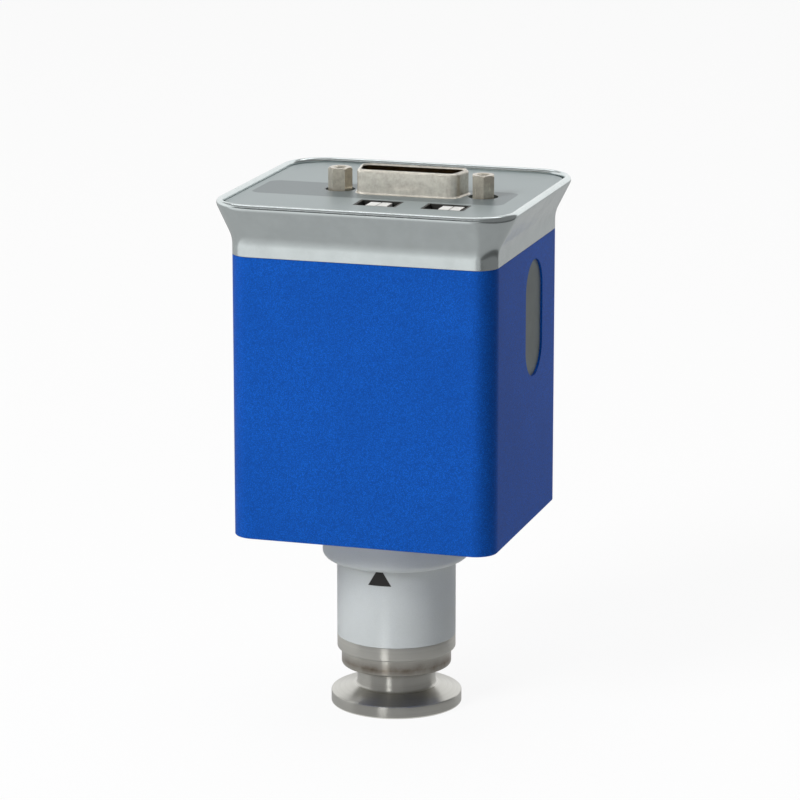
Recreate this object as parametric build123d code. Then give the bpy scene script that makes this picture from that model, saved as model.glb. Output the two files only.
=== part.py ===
from build123d import *
import os
from math import cos, radians, sin, sqrt, tan

# Hot cathode ionization gauge head, in millimetres, +Z up, as it stands on its flange.
# The origin is the middle of the flange's sealing face. The front is -Y.

# Fits that recur
weld_gap = 0.01
slip_fit = 0.05
loose_fit = 0.15
edge_break = 0.2

# Flat sides that the thin round pieces, the wires and the rim's bead are drawn with
slim_sides = 8
wire_sides = 4
bead_sides = 12

# Small clamped flange with a 16 mm bore, and the neck above it
flange_radius = 15.0
flange_rim = 2.8
flange_taper = 15.0
bore_radius = 8.0
ring_seat_radius = 8.6
ring_seat_depth = 2.0
neck_wall = 1.0
neck_height = 9.15

# Stainless sensor envelope, with the bare shoulder that the grey sleeve stands on
envelope_radius = 12.6
envelope_wall = 1.0
envelope_floor = 1.5
envelope_height = 29.15
band_radius = 13.6
band_lift = 3.95
band_height = 3.2
band_chamfer = 0.3
envelope_edge = 0.4

# Grey sleeve with its rounded collar
collar_radius = 16.9
collar_height = 9.05
collar_flat = 1.1
collar_steps = 5
sleeve_height = 27.5

# Electrodes
header_thickness = 2.0
pin_radius = 0.5
bead_radius = 1.3
pin_reach_up = 7.5
grid_radius = 4.8
grid_wire_radius = 0.25
grid_pitch = 3.15
grid_turns = 6
grid_drop = 2.5
grid_post_radius = 0.4
grid_post_tail = 0.6
collector_wire_radius = 0.2
collector_tail = 1.2
filament_wire_radius = 0.15
filament_offset = 1.8
filament_bend = 0.5
filament_post_circle = 8.2
filament_post_spread = 25.0
filament_short_drop = 5.0
filament_length = 10.0
filament_lead = 1.5

# Socket between the sensor and the electronics
socket_side_gap = 0.2
socket_height = 8.7
socket_seat_gap = 0.3
contact_wall = 0.4
contact_start = 0.5

# Blue case
case_width = 61.0
case_depth = 56.6
case_height = 64.1
case_wall = 2.0
case_floor = 2.5
case_corner = 5.0
case_foot_edge = 0.2

# Screws that hold the collar under the case floor
collar_screw_radius = 1.25
collar_screw_circle = 14.9
collar_screw_depth = 6.0
collar_screw_head_radius = 2.2
collar_screw_head = 2.0
screw_slot = 0.5

# Obround cover in the right-hand wall
cover_width = 14.3
cover_length = 26.8
cover_y = 6.1
cover_drop = 17.0
cover_recess = 0.5
cover_lip = 1.0
cover_lip_thickness = 0.8

# Flared bezel
bezel_height = 12.4
bezel_straight = 2.2
bezel_flare_angle = 27.0
bezel_wall = 2.2
rim_spread = 3.85
rim_bead_radius = 0.85
rim_corner = 10.5
spigot_wall = 1.5
spigot_length = 2.5
ledge_width = 2.5
ledge_thickness = 1.2
flare_sections = 5

# Panel in the bezel
panel_inset = 1.0
panel_thickness = 0.8

# Fifteen-way plug, long side to the back
connector_x = 4.0
connector_y = -1.6
shell_width = 26.2
shell_depth = 9.2
shell_side_angle = 10.0
shell_corner = 2.6
shell_wall = 0.45
shell_standout = 5.45
connector_ear = 2.91
connector_flange_width = 12.5
connector_flange_thickness = 0.8
connector_flange_corner = 1.0
insulator_rise = 0.6
insulator_drop = 4.8
contact_pin_radius = 0.5
contact_pitch = 2.77
contact_row_gap = 2.84
contact_back_row = 8
contact_tip_below = 1.0
contact_tail = 1.4
post_from_shell = 3.56
post_flats = 4.76
post_standout = 5.0
post_chamfer = 0.35
post_thread_radius = 1.2
post_thread_depth = 4.5
post_stud_radius = 1.4
post_stud_length = 4.0
post_turns = (9.7, 46.7)
panel_post_clearance = 0.6

# Lamp windows in front of the plug
lamp_window_width = 9.8
lamp_window_depth = 6.8
lamp_window_y = -16.1
lamp_window_x = (0.8, 16.3)
lamp_pair_shift = (0.0, 1.1)
lamp_frame_wall = 0.5
lamp_frame_lip = 0.45
lamp_frame_lip_thickness = 0.6
lamp_frame_floor = 1.3
lamp_frame_sink = 0.05
light_guide_width = 2.3
light_guide_depth = 5.0
light_guide_pitch = 2.6
light_guide_sink = 0.25
lamp_length = 1.6
lamp_width = 0.8
lamp_height = 0.6
lamp_gap = 0.2

# Circuit boards
board_thickness = 1.6
board_wall_gap = 1.5
board_corner = 1.5
sensor_board_rise = 3.0
boss_radius = 3.0
boss_inset = 5.5
board_screw_radius = 1.0
board_screw_head_radius = 1.9
board_screw_head = 1.3
board_screw_depth = 3.4
spacer_radius = 1.6
spacer_inset = 1.9
connector_board_gap = 1.0
spacer_bore = 0.9
upright_board_width = 48.0
upright_board_offset = 14.0
board_header_length = 30.0
board_header_thickness = 2.5
board_header_height = 6.0

# Electronics
core_size = (18.0, 10.0, 16.0)
core_leg = 4.0
core_lift = 8.0
winding_margin = 0.4
capacitor_radius = 4.0
capacitor_length = 9.0
capacitor_pitch = 11.0
capacitor_lift = 20.0
transistor_size = (10.0, 4.5, 15.0)
transistor_pitch = 14.0
transistor_drop = 8.8
relay_size = (7.0, 9.5, 15.0)
relay_pitch = 12.0
relay_lift = 14.0
processor_size = 14.0
processor_height = 1.4
processor_lift = 30.0
chip_size = (8.0, 1.6, 5.0)
chip_pitch = 11.0
chip_count = 4
chip_lift = 14.0
choke_radius = 5.0
choke_hole = 2.2
choke_height = 5.0
choke_pitch = 16.0
choke_drop = 12.8

# Levels worked out from the sizes above
neck_radius = bore_radius + neck_wall
neck_top = neck_height + envelope_floor
envelope_top = neck_height + envelope_height
band_bottom = neck_height + band_lift
band_top = band_bottom + band_height
case_bottom = band_top + sleeve_height
collar_bottom = case_bottom - collar_height
case_top = case_bottom + case_height
floor_top = case_bottom + case_floor
rim_top = case_top + bezel_height
panel_top = rim_top - panel_inset
panel_bottom = panel_top - panel_thickness
header_bottom = envelope_top - header_thickness
pin_top = envelope_top + pin_reach_up
sleeve_bore = envelope_radius + slip_fit
grid_post_circle = grid_radius + grid_wire_radius + grid_post_radius + weld_gap
grid_bottom = header_bottom - grid_drop - grid_pitch * grid_turns
short_post_end = header_bottom - filament_short_drop
filament_top = short_post_end - 2 * filament_lead
filament_bottom = filament_top - filament_length
long_post_end = filament_bottom - filament_lead
socket_radius = envelope_radius - socket_side_gap
socket_bottom = envelope_top + socket_seat_gap
socket_top = socket_bottom + socket_height
contact_radius = pin_radius + weld_gap + contact_wall
sensor_board_bottom = floor_top + sensor_board_rise
sensor_board_top = sensor_board_bottom + board_thickness
flange_seat = panel_bottom
connector_flange_bottom = flange_seat - connector_flange_thickness
shell_top = panel_top + shell_standout
post_top = panel_top + post_standout
post_corner_radius = post_flats / sqrt(3)
post_spacing = shell_width + 2 * post_from_shell
connector_flange_length = post_spacing + 2 * connector_ear
connector_board_top = connector_flange_bottom - connector_flange_thickness - insulator_drop
connector_board_bottom = connector_board_top - board_thickness
cavity_width = case_width - 2 * case_wall
cavity_depth = case_depth - 2 * case_wall
spigot_width = cavity_width - 2 * loose_fit
spigot_depth = cavity_depth - 2 * loose_fit
throat_width = spigot_width - 2 * spigot_wall
throat_depth = spigot_depth - 2 * spigot_wall
seat_spread = rim_spread - 2 * rim_bead_radius
connector_board_width = throat_width - 2 * connector_board_gap
connector_board_depth = throat_depth - 2 * connector_board_gap


def block(width, depth, height, x=0.0, y=0.0, z=0.0):
    """Box with the middle of its bottom face at x, y, z."""
    return Pos(x, y, z) * Box(width, depth, height, align=(Align.CENTER, Align.CENTER, Align.MIN))


def rod(radius, bottom, top, x=0.0, y=0.0):
    """Upright cylinder between two levels."""
    shape = Cylinder(radius, top - bottom, align=(Align.CENTER, Align.CENTER, Align.MIN))
    return Pos(x, y, bottom) * shape


def slim(radius, bottom, top, x=0.0, y=0.0):
    """Thin upright rod, or the hole for one, with a few flat sides."""
    return Pos(x, y, bottom) * extrude(RegularPolygon(radius, slim_sides), top - bottom)


def plate(width, depth, corner, bottom, top):
    """Upright prism on a rounded rectangle about the axis."""
    return Pos(0, 0, bottom) * extrude(RectangleRounded(width, depth, corner), top - bottom)


def turned(outline):
    """Solid turned about the axis from radius and height corners."""
    section = make_face(Polyline(*outline, close=True))
    return revolve(Plane.XZ * section, Axis.Z)


def on_circle(radius, angle):
    """Point on a circle about the axis, at an angle in degrees from +X."""
    return radius * cos(radians(angle)), radius * sin(radians(angle))


def group(shapes):
    """Several separate solids kept together in one node."""
    return Compound(children=[solid for shape in shapes for solid in shape.solids()])


# Where the electrode pins stand
def grid_pin_points():
    return [on_circle(grid_post_circle, angle) for angle in (0, 180)]


def filament_pin_points():
    """Long and short post of each filament, in the order front, back."""
    pairs = []
    for middle in (-90, 90):
        long_post = on_circle(filament_post_circle, middle - filament_post_spread)
        short_post = on_circle(filament_post_circle, middle + filament_post_spread)
        pairs.append((long_post, short_post))
    return pairs


def all_pin_points():
    filament_points = [point for pair in filament_pin_points() for point in pair]
    return [(0.0, 0.0)] + grid_pin_points() + filament_points


# Flange and neck, turned in one piece
def kf_flange():
    cone_rise = (flange_radius - neck_radius) * tan(radians(flange_taper))
    cone_top = flange_rim + cone_rise
    outline = [
        (ring_seat_radius, 0),
        (flange_radius - edge_break, 0),
        (flange_radius, edge_break),
        (flange_radius, flange_rim),
        (neck_radius, cone_top),
        (neck_radius, neck_top),
        (bore_radius, neck_top),
        (bore_radius, ring_seat_depth),
        (ring_seat_radius, ring_seat_depth),
    ]
    return turned(outline)


# Envelope with the welded-in neck hole, the bare shoulder and an open top
def sensor_envelope():
    inner = envelope_radius - envelope_wall
    hole = neck_radius + weld_gap
    outline = [
        (hole, neck_height),
        (envelope_radius - envelope_edge, neck_height),
        (envelope_radius, neck_height + envelope_edge),
        (envelope_radius, band_bottom),
        (band_radius - band_chamfer, band_bottom),
        (band_radius, band_bottom + band_chamfer),
        (band_radius, band_top),
        (envelope_radius, band_top),
        (envelope_radius, envelope_top),
        (inner, envelope_top),
        (inner, neck_top),
        (hole, neck_top),
    ]
    return turned(outline)


# Grey sleeve and collar in one casting, with tapped holes in its top face
def collar_round():
    """Quarter circle from the collar's underside up to its wall, in even steps."""
    round_radius = collar_radius - band_radius - collar_flat
    middle_radius = collar_radius - round_radius
    middle_height = collar_bottom + round_radius
    angles = [radians(90 * step / collar_steps) for step in range(collar_steps + 1)]
    return [(middle_radius + round_radius * sin(angle), middle_height - round_radius * cos(angle))
            for angle in angles]


def sensor_housing():
    outline = [(sleeve_bore, band_top), (band_radius, band_top), (band_radius, collar_bottom)]
    outline += collar_round()
    outline += [(collar_radius, case_bottom), (sleeve_bore, case_bottom)]
    body = turned(outline)
    for x, y in collar_screw_points():
        hole_bottom = case_bottom - collar_screw_depth - slip_fit
        body -= slim(collar_screw_radius + weld_gap, hole_bottom, case_bottom, x, y)
    return body


# Metal disc that closes the envelope and carries the pins in glass
def feedthrough_header():
    radius = envelope_radius - envelope_wall - weld_gap
    disc = rod(radius, header_bottom, envelope_top)
    for x, y in all_pin_points():
        disc -= slim(bead_radius + weld_gap, header_bottom, envelope_top, x, y)
    return disc


def feedthrough_glass():
    beads = []
    for x, y in all_pin_points():
        bead = slim(bead_radius, header_bottom, envelope_top, x, y)
        beads.append(bead - slim(pin_radius + weld_gap, header_bottom, envelope_top, x, y))
    return group(beads)


# Collector: a thin wire on the axis below its pin
def collector():
    wire_bottom = grid_bottom - collector_tail
    pin = slim(pin_radius, header_bottom, pin_top)
    return pin + slim(collector_wire_radius, wire_bottom, header_bottom)


# Grid: an open coil of wire, held between two straight posts
def grid_coil():
    path = Helix(pitch=grid_pitch, height=grid_pitch * grid_turns, radius=grid_radius)
    start = path @ 0
    outward = (1, 0, 0)
    across = Plane(origin=start, x_dir=outward, z_dir=path % 0)
    section = across * RegularPolygon(grid_wire_radius, wire_sides)
    return Pos(0, 0, grid_bottom) * sweep(section, path=path, is_frenet=True)


def grid_posts():
    posts = []
    for x, y in grid_pin_points():
        post = slim(grid_post_radius, grid_bottom - grid_post_tail, header_bottom, x, y)
        posts.append(post + slim(pin_radius, header_bottom, pin_top, x, y))
    return group(posts)


# Filaments: each hangs between the end of a short post and that of a long one
def filament_posts():
    posts = []
    for long_post, short_post in filament_pin_points():
        for (x, y), end in ((long_post, long_post_end), (short_post, short_post_end)):
            post = slim(grid_post_radius, end, header_bottom, x, y)
            posts.append(post + slim(pin_radius, header_bottom, pin_top, x, y))
    return group(posts)


def filament(side):
    """Filament in front of the grid, side -1, or behind it, side 1."""
    long_post, short_post = filament_pin_points()[(side + 1) // 2]
    wire_y = side * (filament_post_circle - filament_offset)
    points = [
        (*short_post, short_post_end),
        (*short_post, short_post_end - filament_lead),
        (0, wire_y, filament_top),
        (0, wire_y, filament_bottom),
        (*long_post, long_post_end - 2 * filament_lead),
        (*long_post, long_post_end),
    ]
    path = FilletPolyline(*points, radius=filament_bend)
    across = Plane(origin=path @ 0, z_dir=path % 0)
    return sweep(across * RegularPolygon(filament_wire_radius, wire_sides), path=path)


# Socket block and its contacts, which the board above carries
def sensor_socket():
    body = rod(socket_radius, socket_bottom, socket_top)
    for x, y in all_pin_points():
        body -= slim(contact_radius + weld_gap, socket_bottom, socket_top, x, y)
    return body


def socket_contacts():
    bottom = socket_bottom + contact_start
    contacts = []
    for x, y in all_pin_points():
        contact = slim(contact_radius, bottom, sensor_board_top, x, y)
        contacts.append(contact - slim(pin_radius + weld_gap, bottom, sensor_board_top, x, y))
    return group(contacts)


# Case: four walls and a floor in one piece, with bosses for the lower board
def boss_points():
    x = cavity_width / 2 - boss_inset
    y = cavity_depth / 2 - boss_inset
    return [(sx * x, sy * y) for sx in (-1, 1) for sy in (-1, 1)]


def collar_screw_points():
    return [on_circle(collar_screw_circle, angle) for angle in (45, 135, 225, 315)]


def cover_outline(grow):
    """Obround of the side cover, larger all round by grow."""
    return SlotOverall(cover_length + 2 * grow, cover_width + 2 * grow, rotation=90)


def cover_slab(grow, near, far):
    """Obround slab in the right-hand wall between two distances from the middle."""
    middle = (near, cover_y, case_top - cover_drop)
    wall_plane = Plane(origin=middle, x_dir=(0, 1, 0), z_dir=(1, 0, 0))
    return extrude(wall_plane * cover_outline(grow), far - near)


def case():
    outside = plate(case_width, case_depth, case_corner, case_bottom, case_top)
    outside = chamfer(outside.faces().sort_by(Axis.Z)[0].edges(), case_foot_edge)
    inner_corner = case_corner - case_wall
    body = outside - plate(cavity_width, cavity_depth, inner_corner, floor_top, case_top)
    body -= rod(socket_radius + slip_fit, case_bottom, floor_top)
    for x, y in collar_screw_points():
        body -= slim(collar_screw_radius + loose_fit, case_bottom, floor_top, x, y)
    for x, y in boss_points():
        body += slim(boss_radius, floor_top, sensor_board_bottom, x, y)
        screw_end = sensor_board_bottom - board_screw_depth
        body -= slim(board_screw_radius + weld_gap, screw_end, sensor_board_bottom, x, y)
    return body - cover_slab(0, case_width / 2 - case_wall, case_width / 2)


def slotted_screw(radius, length, head_radius, head, seat, x, y):
    """Cheese-head screw whose head stands on a seat level."""
    screw = slim(radius, seat - length, seat, x, y) + slim(head_radius, seat, seat + head, x, y)
    return screw - block(2 * head_radius, screw_slot, head / 2, x, y, seat + head / 2)


def collar_screws():
    length = collar_screw_depth + case_floor
    return group([
        slotted_screw(collar_screw_radius, length, collar_screw_head_radius, collar_screw_head,
                      floor_top, x, y)
        for x, y in collar_screw_points()
    ])


# Cover pushed in from inside, its face a little below the wall's
def side_cover():
    inner_wall = case_width / 2 - case_wall
    plug = cover_slab(-slip_fit, inner_wall, case_width / 2 - cover_recess)
    lip = cover_slab(cover_lip, inner_wall - cover_lip_thickness, inner_wall)
    return plug + lip


# Bezel: a flare from the case's outline out to a rounded bead, hollow below its ledge
def flare_spread(height):
    """How far the flare stands out from the case at a height above the straight part."""
    angle = radians(bezel_flare_angle)
    rise = bezel_height - bezel_straight
    sagitta = sin(angle) * tan(angle) - (1 - cos(angle))
    bend = (rise * tan(angle) - rim_spread) / sagitta
    if height <= bend * sin(angle):
        return bend - sqrt(bend ** 2 - height ** 2)
    return bend * (1 - cos(angle)) + (height - bend * sin(angle)) * tan(angle)


def flare_outline(spread, z):
    """Rounded rectangle of the flare, its corners opening with the spread."""
    corner = case_corner + (rim_corner - case_corner) * max(spread, 0) / rim_spread
    outline = RectangleRounded(case_width + 2 * spread, case_depth + 2 * spread, corner)
    return Pos(0, 0, z) * outline


def rim_bead():
    """Round bead along the rim."""
    spread = rim_spread - rim_bead_radius
    width = case_width + 2 * spread
    depth = case_depth + 2 * spread
    corner = rim_corner - rim_bead_radius
    path = RectangleRounded(width, depth, corner).face().outer_wire()
    path = Pos(0, 0, rim_top - rim_bead_radius) * path
    across = Plane(origin=path @ 0, x_dir=(0, 0, 1), z_dir=path % 0)
    section = across * RegularPolygon(rim_bead_radius, bead_sides, major_radius=False)
    return sweep(section, path=path, transition=Transition.RIGHT)


def bezel():
    flare_bottom = case_top + bezel_straight
    flare_top = rim_top - rim_bead_radius
    rise = flare_top - flare_bottom
    steps = [rise * step / flare_sections for step in range(flare_sections + 1)]
    sections = [flare_outline(flare_spread(step), flare_bottom + step) for step in steps]
    body = loft(sections, ruled=True) + plate(case_width, case_depth, case_corner, case_top, flare_bottom)
    body += rim_bead()
    spigot_bottom = case_top - spigot_length
    inner_corner = case_corner - case_wall
    body += plate(spigot_width, spigot_depth, inner_corner, spigot_bottom, case_top)

    seat_width = case_width + 2 * seat_spread
    seat_depth = case_depth + 2 * seat_spread
    seat_corner = rim_corner - 2 * rim_bead_radius
    body -= plate(seat_width, seat_depth, seat_corner, panel_bottom, rim_top)
    ledge_bottom = panel_bottom - ledge_thickness
    window_width = seat_width - 2 * ledge_width
    window_depth = seat_depth - 2 * ledge_width
    window_corner = seat_corner - ledge_width
    body -= plate(window_width, window_depth, window_corner, ledge_bottom, panel_bottom)
    body -= plate(throat_width, throat_depth, inner_corner, spigot_bottom, flare_bottom)
    throat = Pos(0, 0, flare_bottom) * RectangleRounded(throat_width, throat_depth, inner_corner)
    hollow_spread = flare_spread(ledge_bottom - flare_bottom) - bezel_wall
    hollow_top = Pos(0, 0, ledge_bottom) * RectangleRounded(
        case_width + 2 * hollow_spread, case_depth + 2 * hollow_spread, case_corner)
    return body - loft([throat, hollow_top], ruled=True)


# Panel, with openings for the plug, its posts and the lamps
def post_points():
    return [(connector_x + side * post_spacing / 2, connector_y) for side in (-1, 1)]


def d_outline(inset, z):
    """D shape of the plug, drawn in all round from the shell's outside by inset."""
    lean = radians(shell_side_angle)
    half_depth = shell_depth / 2 - inset
    half_middle = shell_width / 2 - shell_depth / 2 * tan(lean) - inset / cos(lean)
    back = half_middle + half_depth * tan(lean)
    front = half_middle - half_depth * tan(lean)
    corners = [(-front, -half_depth), (front, -half_depth), (back, half_depth), (-back, half_depth)]
    face = make_face(Polyline(*corners, close=True)).face()
    face = face.fillet_2d(shell_corner - inset, face.vertices())
    return Pos(connector_x, connector_y, z) * face


def d_prism(inset, bottom, top):
    return extrude(d_outline(inset, bottom), top - bottom)


def top_panel():
    width = case_width + 2 * (seat_spread - slip_fit)
    depth = case_depth + 2 * (seat_spread - slip_fit)
    corner = rim_corner - 2 * rim_bead_radius - slip_fit
    panel = plate(width, depth, corner, panel_bottom, panel_top)
    panel -= d_prism(-loose_fit, panel_bottom, panel_top)
    for x, y in post_points():
        panel -= rod(post_corner_radius + panel_post_clearance, panel_bottom, panel_top, x, y)
    for x in lamp_window_x:
        window = (lamp_window_width + 2 * slip_fit, lamp_window_depth + 2 * slip_fit)
        panel -= block(*window, panel_thickness, x, lamp_window_y, panel_bottom)
    return panel


# Plug: front and rear shells, insulator, pins and jack posts
def connector_flange(bottom):
    outline = RectangleRounded(connector_flange_length, connector_flange_width,
                               connector_flange_corner)
    flange = extrude(outline, connector_flange_thickness)
    flange = Pos(connector_x, connector_y, bottom) * flange
    top = bottom + connector_flange_thickness
    flange -= d_prism(shell_wall, bottom, top)
    for x, y in post_points():
        flange -= slim(post_stud_radius + loose_fit, bottom, top, x, y)
    return flange


def connector_front_shell():
    tube = d_prism(0, connector_flange_bottom, shell_top)
    tube -= d_prism(shell_wall, connector_flange_bottom, shell_top)
    return tube + connector_flange(connector_flange_bottom)


def connector_rear_shell():
    flange_bottom = connector_flange_bottom - connector_flange_thickness
    tube_bottom = connector_board_top + loose_fit
    tube = d_prism(0, tube_bottom, connector_flange_bottom)
    tube -= d_prism(shell_wall, tube_bottom, connector_flange_bottom)
    return tube + connector_flange(flange_bottom)


def contact_points():
    """Pins: the long row at the back, the short one in front, staggered by half a pitch."""
    points = []
    rows = ((contact_back_row, 1), (contact_back_row - 1, -1))
    for count, side in rows:
        for number in range(count):
            x = connector_x + (number - (count - 1) / 2) * contact_pitch
            points.append((x, connector_y + side * contact_row_gap / 2))
    return points


def connector_insulator():
    top = flange_seat + insulator_rise
    body = d_prism(shell_wall + slip_fit, connector_board_top, top)
    for x, y in contact_points():
        body -= slim(contact_pin_radius + weld_gap, connector_board_top, top, x, y)
    return body


def connector_pins():
    bottom = connector_board_bottom - contact_tail
    top = shell_top - contact_tip_below
    pins = []
    for x, y in contact_points():
        pin = slim(contact_pin_radius, bottom, top, x, y)
        tip = pin.faces().sort_by(Axis.Z)[-1].edges()
        pins.append(chamfer(tip, contact_pin_radius / 2))
    return group(pins)


def jack_posts():
    stud_end = flange_seat - post_stud_length
    posts = []
    for (x, y), turn in zip(post_points(), post_turns):
        hexagon = RegularPolygon(post_corner_radius, 6, rotation=turn)
        blank = rod(post_corner_radius, flange_seat, post_top)
        blank = chamfer(blank.faces().sort_by(Axis.Z)[-1].edges(), post_chamfer)
        post = blank & Pos(0, 0, flange_seat) * extrude(hexagon, post_top - flange_seat)
        post -= rod(post_thread_radius, post_top - post_thread_depth, post_top)
        posts.append(Pos(x, y, 0) * (post + slim(post_stud_radius, stud_end, flange_seat)))
    return group(posts)


# Lamp windows: a dark moulded frame with two white light guides, over lamps on the board
def light_guide_points():
    points = []
    for window_x, shift in zip(lamp_window_x, lamp_pair_shift):
        for side in (-1, 1):
            points.append((window_x + shift + side * light_guide_pitch / 2, lamp_window_y))
    return points


def lamp_frames():
    top = panel_top - lamp_frame_sink
    floor = panel_top - lamp_frame_floor
    bottom = panel_bottom - lamp_frame_lip_thickness
    frames = []
    for x in lamp_window_x:
        body = block(lamp_window_width, lamp_window_depth, top - panel_bottom, x, lamp_window_y,
                     panel_bottom)
        body += block(lamp_window_width + 2 * lamp_frame_lip, lamp_window_depth + 2 * lamp_frame_lip,
                      lamp_frame_lip_thickness, x, lamp_window_y, bottom)
        body -= block(lamp_window_width - 2 * lamp_frame_wall,
                      lamp_window_depth - 2 * lamp_frame_wall, top - floor, x, lamp_window_y, floor)
        for guide_x, guide_y in light_guide_points():
            body -= block(light_guide_width + 2 * slip_fit, light_guide_depth + 2 * slip_fit,
                          top - bottom, guide_x, guide_y, bottom)
        frames.append(body)
    return group(frames)


def light_guides():
    bottom = connector_board_top + lamp_height + lamp_gap
    top = panel_top - light_guide_sink
    return group([block(light_guide_width, light_guide_depth, top - bottom, x, y, bottom)
                  for x, y in light_guide_points()])


def lamps():
    return group([block(lamp_length, lamp_width, lamp_height, x, y, connector_board_top)
                  for x, y in light_guide_points()])


# Boards
def sensor_board():
    width = cavity_width - 2 * board_wall_gap
    depth = cavity_depth - 2 * board_wall_gap
    board = plate(width, depth, board_corner, sensor_board_bottom, sensor_board_top)
    for x, y in all_pin_points():
        board -= slim(contact_radius + weld_gap, sensor_board_bottom, sensor_board_top, x, y)
    for x, y in boss_points():
        board -= slim(board_screw_radius + loose_fit, sensor_board_bottom, sensor_board_top, x, y)
    return board


def sensor_board_screws():
    length = board_screw_depth + board_thickness - slip_fit
    return group([
        slotted_screw(board_screw_radius, length, board_screw_head_radius, board_screw_head,
                      sensor_board_top, x, y)
        for x, y in boss_points()
    ])


def spacer_points():
    x = connector_board_width / 2 - spacer_inset
    y = connector_board_depth / 2 - spacer_inset
    return [(sx * x, sy * y) for sx in (-1, 1) for sy in (-1, 1)]


def connector_board():
    board = plate(connector_board_width, connector_board_depth, board_corner,
                  connector_board_bottom, connector_board_top)
    for x, y in contact_points():
        board -= slim(contact_pin_radius + weld_gap, connector_board_bottom, connector_board_top, x, y)
    return board


def panel_spacers():
    spacers = []
    for x, y in spacer_points():
        spacer = slim(spacer_radius, connector_board_top, panel_bottom, x, y)
        spacers.append(spacer - slim(spacer_bore, connector_board_top, panel_bottom, x, y))
    return group(spacers)


def upright_board(side):
    bottom = sensor_board_top
    height = connector_board_bottom - bottom
    return block(upright_board_width, board_thickness, height, 0, side * upright_board_offset, bottom)


def board_headers(upper):
    """Header strips beside the ends of the two upright boards."""
    bottom = connector_board_bottom - board_header_height if upper else sensor_board_top
    reach = board_thickness / 2 + board_header_thickness / 2
    strips = []
    for side in (-1, 1):
        y = side * (upright_board_offset + reach)
        strips.append(block(board_header_length, board_header_thickness, board_header_height,
                            0, y, bottom))
    return group(strips)


# Electronics on the inner and outer faces of the upright boards
power_inner = -upright_board_offset + board_thickness / 2
power_outer = -upright_board_offset - board_thickness / 2
control_inner = upright_board_offset - board_thickness / 2
control_outer = upright_board_offset + board_thickness / 2


def core_opening():
    """Width of each window of the core, either side of its middle leg."""
    return (core_size[0] - 3 * core_leg) / 2


def core_middle_y():
    """The winding stands on the board, so the core is off it by the winding's overhang."""
    return power_inner + core_opening() - winding_margin + core_size[1] / 2


def transformer_core():
    width, depth, height = core_size
    bottom = sensor_board_top + core_lift
    core = block(width, depth, height, 0, core_middle_y(), bottom)
    for side in (-1, 1):
        x = side * (core_leg + core_opening()) / 2
        core -= block(core_opening(), depth, height - 2 * core_leg, x, core_middle_y(),
                      bottom + core_leg)
    return core


def transformer_winding():
    width, depth, height = core_size
    overhang = core_opening() - winding_margin
    bottom = sensor_board_top + core_lift + core_leg + winding_margin
    tall = height - 2 * core_leg - 2 * winding_margin
    coil = block(core_leg + 2 * overhang, depth + 2 * overhang, tall, 0, core_middle_y(), bottom)
    bore = (core_leg + 2 * slip_fit, depth + 2 * slip_fit)
    return coil - block(*bore, tall, 0, core_middle_y(), bottom)


def capacitors():
    cans = []
    for number in (-1, 0, 1):
        z = sensor_board_top + capacitor_lift
        base = Plane(origin=(number * capacitor_pitch, power_outer, z), z_dir=(0, -1, 0))
        cans.append(extrude(base * RegularPolygon(capacitor_radius, slim_sides), capacitor_length))
    return group(cans)


def power_transistors():
    width, depth, height = transistor_size
    z = connector_board_bottom - transistor_drop - height
    return group([block(width, depth, height, number * transistor_pitch, power_outer - depth / 2, z)
                  for number in (-1, 0, 1)])


def relays():
    width, depth, height = relay_size
    z = sensor_board_top + relay_lift
    return group([block(width, depth, height, (number - 0.5) * relay_pitch,
                        control_outer + depth / 2, z) for number in (0, 1)])


def processor():
    z = sensor_board_top + processor_lift
    y = control_inner - processor_height / 2
    return block(processor_size, processor_height, processor_size, 0, y, z)


def small_chips():
    width, depth, height = chip_size
    z = sensor_board_top + chip_lift
    return group([
        block(width, depth, height, (number - (chip_count - 1) / 2) * chip_pitch,
              control_inner - depth / 2, z)
        for number in range(chip_count)
    ])


def chokes():
    rings = []
    for side in (-1, 1):
        z = connector_board_bottom - choke_drop
        base = Plane(origin=(side * choke_pitch / 2, power_inner, z), z_dir=(0, 1, 0))
        ring = RegularPolygon(choke_radius, slim_sides) - RegularPolygon(choke_hole, slim_sides)
        rings.append(extrude(base * ring, choke_height))
    return group(rings)


parts = {
    "kf_flange": kf_flange(),
    "sensor_envelope": sensor_envelope(),
    "sensor_housing": sensor_housing(),
    "feedthrough_header": feedthrough_header(),
    "feedthrough_glass": feedthrough_glass(),
    "collector_wire": collector(),
    "grid_coil": grid_coil(),
    "grid_posts": grid_posts(),
    "filament_front": filament(-1),
    "filament_back": filament(1),
    "filament_posts": filament_posts(),
    "sensor_socket": sensor_socket(),
    "socket_contacts": socket_contacts(),
    "case": case(),
    "collar_screws": collar_screws(),
    "side_cover": side_cover(),
    "bezel": bezel(),
    "top_panel": top_panel(),
    "connector_front_shell": connector_front_shell(),
    "connector_rear_shell": connector_rear_shell(),
    "connector_insulator": connector_insulator(),
    "connector_pins": connector_pins(),
    "jack_posts": jack_posts(),
    "lamp_frames": lamp_frames(),
    "light_guides": light_guides(),
    "lamps": lamps(),
    "sensor_board": sensor_board(),
    "sensor_board_screws": sensor_board_screws(),
    "connector_board": connector_board(),
    "panel_spacers": panel_spacers(),
    "power_board": upright_board(-1),
    "control_board": upright_board(1),
    "lower_headers": board_headers(False),
    "upper_headers": board_headers(True),
    "transformer_core": transformer_core(),
    "transformer_winding": transformer_winding(),
    "capacitors": capacitors(),
    "power_transistors": power_transistors(),
    "relays": relays(),
    "processor": processor(),
    "small_chips": small_chips(),
    "chokes": chokes(),
}

os.makedirs("parts", exist_ok=True)
for name, part in parts.items():
    export_step(part, os.path.join("parts", name + ".step"))
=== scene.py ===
from math import cos, pi, radians, sin, sqrt, tan
from typing import NamedTuple

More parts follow.
